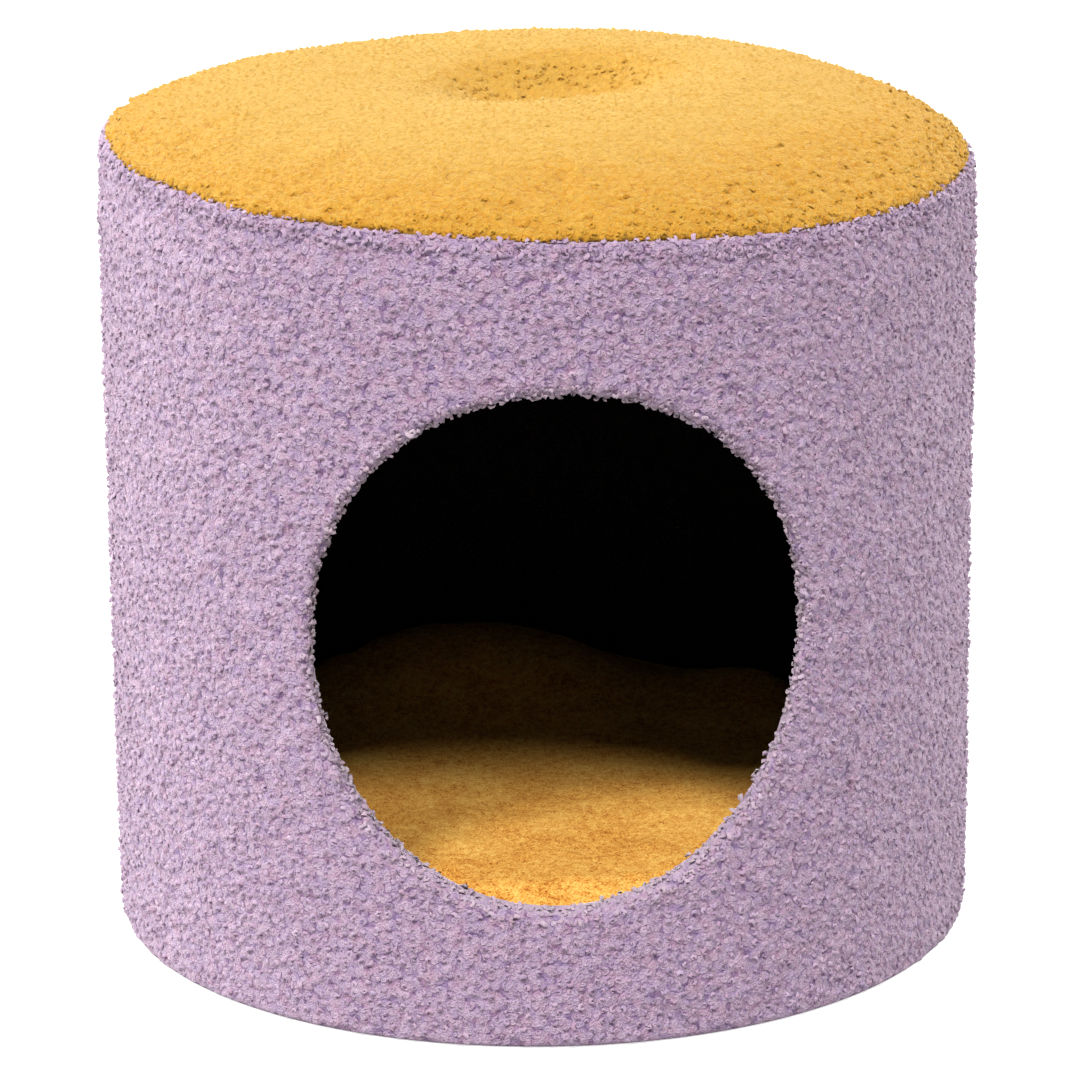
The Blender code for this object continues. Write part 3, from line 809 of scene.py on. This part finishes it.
def edge_heights(middles):
    """Heights of the settled top edge of the wall at these points' turns."""
    return np.array([settled(x, y, WALL_HEIGHT) for x, y in middles[:, :2]])


def on_seam(middles, normals):
    """The top of the wall, where the roof is sewn on."""
    height = middles[:, 2] - edge_heights(middles)
    out = np.hypot(middles[:, 0], middles[:, 1])
    return (height > -SEAM_BAND) & (normals[:, 2] > -0.2) & (out > SEAM_FACE)


places = loop_places(wall, WALL_LOOP_SPACING, on_wall, 11)
front = places[0][:, 1] < WALL_LOOP_SPLIT
for name, half, seed in (("wall_loops_front", front, 21), ("wall_loops_back", ~front, 22)):
    loops = lay_loops(name, [part[half] for part in places], seed, lilac_yarn, size=(0.88, 1.3))
    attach(loops, "root")
# The doorway's loops take the paler yarn, a painted highlight on the rolled edge.
rim_yarn_painted_highlight = crimped_yarn("lilac_rim_yarn_painted_highlight", LILAC_RIM_PAINTED_HIGHLIGHT)
for name, spacing, wanted, seed, yarn, size, lift in (
        ("doorway_loops", HEM_LOOP_SPACING, on_hem, 12, rim_yarn_painted_highlight, (0.85, 1.45), 0.0006),
        ("seam_loops", SEAM_LOOP_SPACING, on_seam, 15, lilac_yarn, (1.0, 1.4), 0.0007)):
    loops = lay_loops(name, loop_places(wall, spacing, wanted, seed, 0.0), seed + 10, yarn, size=size, lean=1.3,
                      lift=lift, tone=(0.45, 1.0))
    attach(loops, "root")

# Cushion inside
# A loose bag of short mustard plush, filled with fibre. It lies on the bottom panel, and its
# back is pushed up against the wall. The pile is a millimetre or two, brushed every way.

CUSHION_SEAT = 0.0083
CUSHION_RADIUS = 0.179
CUSHION_THICKNESS = 0.050
CUSHION_EDGE_ROUND = 0.026
CUSHION_HUMPS = (
    # x, y, rise, spread in x, spread in y
    (-0.038, 0.125, 0.034, 0.100, 0.065),
    (0.115, 0.110, 0.013, 0.042, 0.060),
    (-0.125, 0.080, 0.005, 0.045, 0.060),
    (-0.110, -0.060, 0.006, 0.060, 0.080),
)
CUSHION_VOXEL = 0.005
CUSHION_BEFORE_FILL = 0.96        # how high and how wide it starts before it is filled
CUSHION_NARROWER = 0.99
CUSHION_HELD = 0.004              # the filling leaves it alone this far up from its seat
CUSHION_SWELL = 0.003
CUSHION_SEAT_RADIUS = 0.145
CUSHION_PILE_DEPTH = 0.0004
SECTION_STEPS = 12
SEAT_CLEARANCE = 0.0012
SEAT_EDGE = 0.002
SEAT_RINGS = (0.93, 0.65, 0.3)    # shares of the seat's radius
PILE_FADE = 0.002                 # the tufts grow to their full height this far over the seat
SIDE_LENGTH = 0.8                 # cloth on a pad's side, for each metre down
PLUSH_SPECK = 0.0009
PLUSH_TUFT = 0.0035
PLUSH_PATCH = 0.022
# The darkest tone is painted shade in the pits of the pile.
PLUSH = {"painted_shade_crease": "90420E", "mid": "CB8B37", "tip": "E4BB63"}
SWELL_FRAMES = 20


def cushion_height(x, y):
    """Height of the cushion's top over its seat."""
    height = CUSHION_THICKNESS
    for hump_x, hump_y, rise, spread_x, spread_y in CUSHION_HUMPS:
        height += rise * math.exp(-((x - hump_x) / spread_x) ** 2 - ((y - hump_y) / spread_y) ** 2)
    return height


def turned_solid(section, segments):
    """Closed solid from a half section of (radius, height) points, from axis to axis."""
    bm = bmesh.new()
    verts = [bm.verts.new((radius, 0.0, up)) for radius, up in section]
    edges = [bm.edges.new(pair) for pair in zip(verts, verts[1:])]
    bmesh.ops.spin(bm, geom=verts + edges, axis=(0, 0, 1), cent=(0, 0, 0), angle=2 * math.pi, steps=segments,
                   use_merge=True)
    bmesh.ops.remove_doubles(bm, verts=bm.verts[:], dist=1e-6)
    bmesh.ops.recalc_face_normals(bm, faces=bm.faces[:])
    return bm


def swollen(bm, voxel, held, cap):
    """Fills a bag of cloth: a short cloth simulation with pressure, in which the held points stay.

    Returns the new bmesh. No point ends further than the cap from where it started.
    """
    start = add_piece("bag", bm)
    remesh = start.modifiers.new("remesh", "REMESH")
    remesh.mode = "VOXEL"
    remesh.voxel_size = voxel
    even = bpy.data.meshes.new_from_object(start.evaluated_get(bpy.context.evaluated_depsgraph_get()))
    bag = add_object("even_bag", even)
    pins = bag.vertex_groups.new(name="held")
    pins.add([vert.index for vert in even.vertices if held(vert.co)], 1.0, "REPLACE")
    cloth = bag.modifiers.new("cloth", "CLOTH")
    cloth.settings.quality = 5
    cloth.settings.mass = 0.3
    cloth.settings.tension_stiffness = cloth.settings.compression_stiffness = 12.0
    cloth.settings.bending_stiffness = 0.8
    cloth.settings.use_pressure = True
    cloth.settings.uniform_pressure_force = 4.0
    cloth.settings.effector_weights.gravity = 0.0
    cloth.settings.vertex_group_mass = "held"
    cloth.collision_settings.use_collision = False
    cloth.point_cache.frame_end = SWELL_FRAMES
    for number in range(1, SWELL_FRAMES + 1):
        bpy.context.scene.frame_set(number)
    done = bpy.data.meshes.new_from_object(bag.evaluated_get(bpy.context.evaluated_depsgraph_get()))
    bpy.context.scene.frame_set(1)
    filled = bmesh.new()
    filled.from_mesh(done)
    for vert, home in zip(filled.verts, even.vertices):
        move = vert.co - home.co
        if move.length > cap:
            vert.co = home.co + move.normalized() * cap
    for item in (start, bag):
        bpy.data.objects.remove(item, do_unlink=True)
    return filled


def finish_pad(bm, seat_at, seat_radius, rim):
    """Halves a pad's faces on top, trades those under it for a few rings, and lays the pattern on."""
    under = [face for face in bm.faces
             if all(vert.co.z < seat_at(vert.co) + SEAT_CLEARANCE
                    and math.hypot(vert.co.x, vert.co.y) < seat_radius for vert in face.verts)]
    bmesh.ops.delete(bm, geom=under, context="FACES")
    bmesh.ops.subdivide_edges(bm, edges=bm.edges[:], cuts=1, use_grid_fill=True, smooth=0.6)
    open_edge = [edge for edge in bm.edges if edge.is_boundary]
    for vert in {vert for edge in open_edge for vert in edge.verts}:
        vert.co.xy = vert.co.xy.normalized() * (seat_radius - SEAT_EDGE)
    for share in SEAT_RINGS:
        grown, open_edge = grow_edge(bm, open_edge)
        for vert in grown:
            vert.co.xy = vert.co.xy.normalized() * share * seat_radius
    bmesh.ops.contextual_create(bm, geom=open_edge)
    bmesh.ops.recalc_face_normals(bm, faces=bm.faces[:])
    share = bm.verts.layers.float.new("share")
    for vert in bm.verts:
        seat = seat_at(vert.co)
        vert.co.z = max(vert.co.z, seat)
        vert[share] = min((vert.co.z - seat) / PILE_FADE, 1.0)
    layer = bm.loops.layers.uv.new("cloth")
    for face in bm.faces:
        for corner in face.loops:
            x, y, z = corner.vert.co
            out = math.hypot(x, y)
            along = out + max(0.0, rim - z) * SIDE_LENGTH
            corner[layer].uv = (x / max(out, 1e-6) * along, y / max(out, 1e-6) * along)
    return share


bm = bmesh.new()
flat_radius = CUSHION_RADIUS - CUSHION_EDGE_ROUND
section = [(0.0, 0.0), (flat_radius * 0.5, 0.0), (flat_radius, 0.0)]
for step in range(1, SECTION_STEPS + 1):
    angle = math.pi * step / SECTION_STEPS - math.pi / 2
    section.append((flat_radius + CUSHION_EDGE_ROUND * math.cos(angle),
                    CUSHION_THICKNESS * (0.5 + 0.5 * math.sin(angle))))
for step in range(1, SECTION_STEPS + 1):
    section.append((flat_radius * (1 - step / SECTION_STEPS), CUSHION_THICKNESS))
bm = turned_solid(section, 96)
for vert in bm.verts:
    full = CUSHION_BEFORE_FILL * cushion_height(vert.co.x, vert.co.y)
    vert.co.z = CUSHION_SEAT + vert.co.z / CUSHION_THICKNESS * full
    vert.co.x *= CUSHION_NARROWER
    vert.co.y *= CUSHION_NARROWER
bm = swollen(bm, CUSHION_VOXEL, lambda point: point.z < CUSHION_SEAT + CUSHION_HELD, CUSHION_SWELL)
share = finish_pad(bm, lambda point: CUSHION_SEAT, CUSHION_SEAT_RADIUS, CUSHION_SEAT + CUSHION_THICKNESS)
raise_clumps(bm, share, CUSHION_PILE_DEPTH)


def short_plush(name, colours):
    """Short plush: cut pile that stands up in fine specks and lies in patches where it was brushed."""
    material, tree, shader = new_material(name)
    place = add(tree, "TexCoord").outputs["Object"]
    specks = add(tree, "TexNoise", Vector=place, Scale=1 / PLUSH_SPECK, Detail=2.0, Distortion=0.5)
    bent = add(tree, "TexNoise", Vector=place, Scale=1 / PLUSH_TUFT, Detail=2.0)
    brushed = add(tree, "TexNoise", Vector=place, Scale=1 / PLUSH_PATCH, Detail=3.0, Distortion=0.6)
    mixed = add(tree, "Math", {"operation": "MULTIPLY_ADD"}, i0=bent.outputs["Fac"], i1=0.5, i2=specks.outputs["Fac"])
    pile = add(tree, "Math", {"operation": "MULTIPLY_ADD"}, i0=brushed.outputs["Fac"], i1=0.35, i2=mixed.outputs[0])
    span = add(tree, "MapRange", Value=pile.outputs[0], From_Min=0.66, From_Max=1.18)
    # Painted shade: where the pile pattern is low it is painted dark.
    tones = add(tree, "ValToRGB", Fac=span.outputs[0])
    tones.color_ramp.elements[0].position, tones.color_ramp.elements[0].color = 0.0, linear(colours["painted_shade_crease"])
    tones.color_ramp.elements[1].position, tones.color_ramp.elements[1].color = 1.0, linear(colours["tip"])
    tones.color_ramp.elements.new(0.42).color = linear(colours["mid"])
    bump = add(tree, "Bump", Strength=1.0, Distance=0.0005, Height=mixed.outputs[0])
    feed(tree, shader, Base_Color=tones.outputs["Color"], Normal=bump.outputs["Normal"], Roughness=0.9,
         Specular_IOR_Level=0.15, Sheen_Weight=0.25, Sheen_Roughness=0.4, Sheen_Tint=linear(colours["tip"]))
    return material


inner_cushion = add_piece("cushion_plush", bm, short_plush("mustard_short_plush", PLUSH))
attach(inner_cushion, "root")
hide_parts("inner_cushion")

# Roof pad
# The roof is a round pad of the same curly fleece in mustard, packed with fibre and sewn to
# the wall's top edge. A stitch through its middle draws it down into a wide dimple.

PAD_SEAT = 0.3603
PAD_RADIUS = 0.1965
PAD_SIDE = 0.004
PAD_UNDERCUT = 0.0045             # the side draws in to the seat by this, and by the next half way up
PAD_HALF_UNDERCUT = 0.0030
PAD_TOP_STEPS = 48
PAD_CROWN = 0.0262
PAD_CROWN_POWER = 4.6
PAD_EDGE_POWER = 0.72
PAD_RIGHT_FULLER = 0.004
PAD_BACK_FULLER = 0.002
PAD_MIDDLE_FULLER = 0.004
PAD_MIDDLE_SPREAD = 0.090
DIMPLE_DEPTH = 0.0225
DIMPLE_RIGHT = 0.010
DIMPLE_BACK = 0.008
DIMPLE_HALF_WIDTH = 0.047
DIMPLE_HALF_LENGTH = 0.040
DIMPLE_POWER = 4.0
DIMPLE_HELD = 0.5                 # of the way to its lip
DIMPLE_PAINTED_SHEEN = 0.5                # painted sheen: the dimple and a band past its lip are painted paler
DIMPLE_SHEEN_END = 1.6             # where that ends, past the lip, and the width it ends over
DIMPLE_SHEEN_FADE = 0.6
PAD_VOXEL = 0.004
PAD_SLACK = 0.0010                # how much lower the pad starts before it is filled, but for its edge
PAD_SLACK_FADE = 0.02
PAD_HELD = 0.001                  # over its side
PAD_SWELL = 0.004
PAD_SEAT_RADIUS = 0.186
PAD_RIM = 0.020                   # height over the seat at which the cloth turns down
PAD_CLUMP_DEPTH = 0.0009
PAD_NUB_SHAPES = (
    # turns, loop radius, strand radius, rise: knots with no hole left in them
    (0.45, 0.00090, 0.00112, 0.0002),
    (0.60, 0.00080, 0.00104, 0.0004),
    (0.35, 0.00108, 0.00118, 0.0002),
)
PAD_NUB_SPACING = 0.0031
PAD_EDGE_LOOP_SPACING = 0.0028
PAD_SOFTNESS = 0.6
# Its two darkest tones are painted shade, in the creases between tufts and at the roots of the loops; its top tone is
# a painted sheen on cloth that faces up.
MUSTARD = {"painted_shade_crease": "995C0E", "painted_shade_deep": "A26A18", "mid": "B48027", "tip": "BB8D34", "spot": "AB6F17",
           "cool": "AD842F", "sheen": "F8DC98", "top": "B69043"}


def dimple_share(x, y):
    """0 in the middle of the dimple, 1 at its lip, and more outside."""
    return math.hypot((x - DIMPLE_RIGHT) / DIMPLE_HALF_WIDTH, (y - DIMPLE_BACK) / DIMPLE_HALF_LENGTH)


def pad_crown(x, y):
    """Height of the pad's top over its side."""
    radius, turn = math.hypot(x, y), math.atan2(x, -y)
    crown = PAD_CROWN + PAD_RIGHT_FULLER * math.sin(turn) - PAD_BACK_FULLER * math.cos(turn)
    share = min(radius / PAD_RADIUS, 1.0)
    fullness = (1.0 - share ** PAD_CROWN_POWER) ** PAD_EDGE_POWER
    middle = PAD_MIDDLE_FULLER * math.exp(-(radius / PAD_MIDDLE_SPREAD) ** 2)
    return crown * fullness + middle - DIMPLE_DEPTH * math.exp(-dimple_share(x, y) ** DIMPLE_POWER)


section = [(PAD_RADIUS * step / 8, 0.0) for step in range(8)]
section += [(PAD_RADIUS - PAD_UNDERCUT, 0.0), (PAD_RADIUS - PAD_HALF_UNDERCUT, PAD_SIDE * 0.5)]
section += [(PAD_RADIUS * math.cos(math.pi / 2 * step / PAD_TOP_STEPS), PAD_SIDE) for step in range(PAD_TOP_STEPS)]
section.append((0.0, PAD_SIDE))
bm = turned_solid(section, 160)
for vert in bm.verts:
    x, y, z = vert.co
    if z > PAD_SIDE - 1e-5:
        slack = PAD_SLACK * min((PAD_RADIUS - math.hypot(x, y)) / PAD_SLACK_FADE, 1.0)
        z = PAD_SIDE + pad_crown(x, y) - slack
    vert.co.z = settled(x, y, PAD_SEAT) + z


def pad_is_held(point):
    """The seam, the seat and the bottom of the dimple stay where they are sewn."""
    side_top = settled(point.x, point.y, PAD_SEAT) + PAD_SIDE
    return point.z < side_top + PAD_HELD or dimple_share(point.x, point.y) < DIMPLE_HELD


bm = swollen(bm, PAD_VOXEL, pad_is_held, PAD_SWELL)
share = finish_pad(bm, lambda point: settled(point.x, point.y, PAD_SEAT), PAD_SEAT_RADIUS, PAD_SEAT + PAD_RIM)
raise_clumps(bm, share, PAD_CLUMP_DEPTH)
# Painted sheen over the dimple and past its lip.
flat = bm.verts.layers.float["flat"]
for vert in bm.verts:
    past = DIMPLE_SHEEN_END - dimple_share(vert.co.x, vert.co.y)
    vert[flat] = max(vert[flat], DIMPLE_PAINTED_SHEEN * smooth_step(past / DIMPLE_SHEEN_FADE))
mustard_fleece = curly_fleece("mustard_curly_fleece", MUSTARD, roughness_of_loops=0.8)
roof = add_piece("roof_pad_fleece", bm, mustard_fleece)
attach(roof, "root")
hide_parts("top_pad")
mustard_yarn = crimped_yarn("mustard_crimped_yarn", MUSTARD)


def on_roof(middles, normals):
    """The roof's whole face, down to its seam."""
    return normals[:, 2] > 0.1


def on_roof_edge(middles, normals):
    """The roof's rounded edge, which hangs over the seam."""
    return (normals[:, 2] > -0.5) & (normals[:, 2] < 0.7)


for name, spacing, wanted, seed, shapes, lean, lift, softness in (
        ("roof_pad_loops", PAD_NUB_SPACING, on_roof, 13, PAD_NUB_SHAPES, 0.45, -0.0003, PAD_SOFTNESS),
        ("roof_edge_loops", PAD_EDGE_LOOP_SPACING, on_roof_edge, 14, LOOP_SHAPES, 0.7, 0.0003, FIBRE_SOFTNESS)):
    loops = lay_loops(name, loop_places(roof, spacing, wanted, seed, 0.0), seed + 10, mustard_yarn, lean=lean,
                      lift=lift, size=(0.9, 1.3), tone=(0.3, 1.0), shapes=shapes, softness=softness)
    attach(loops, "root")
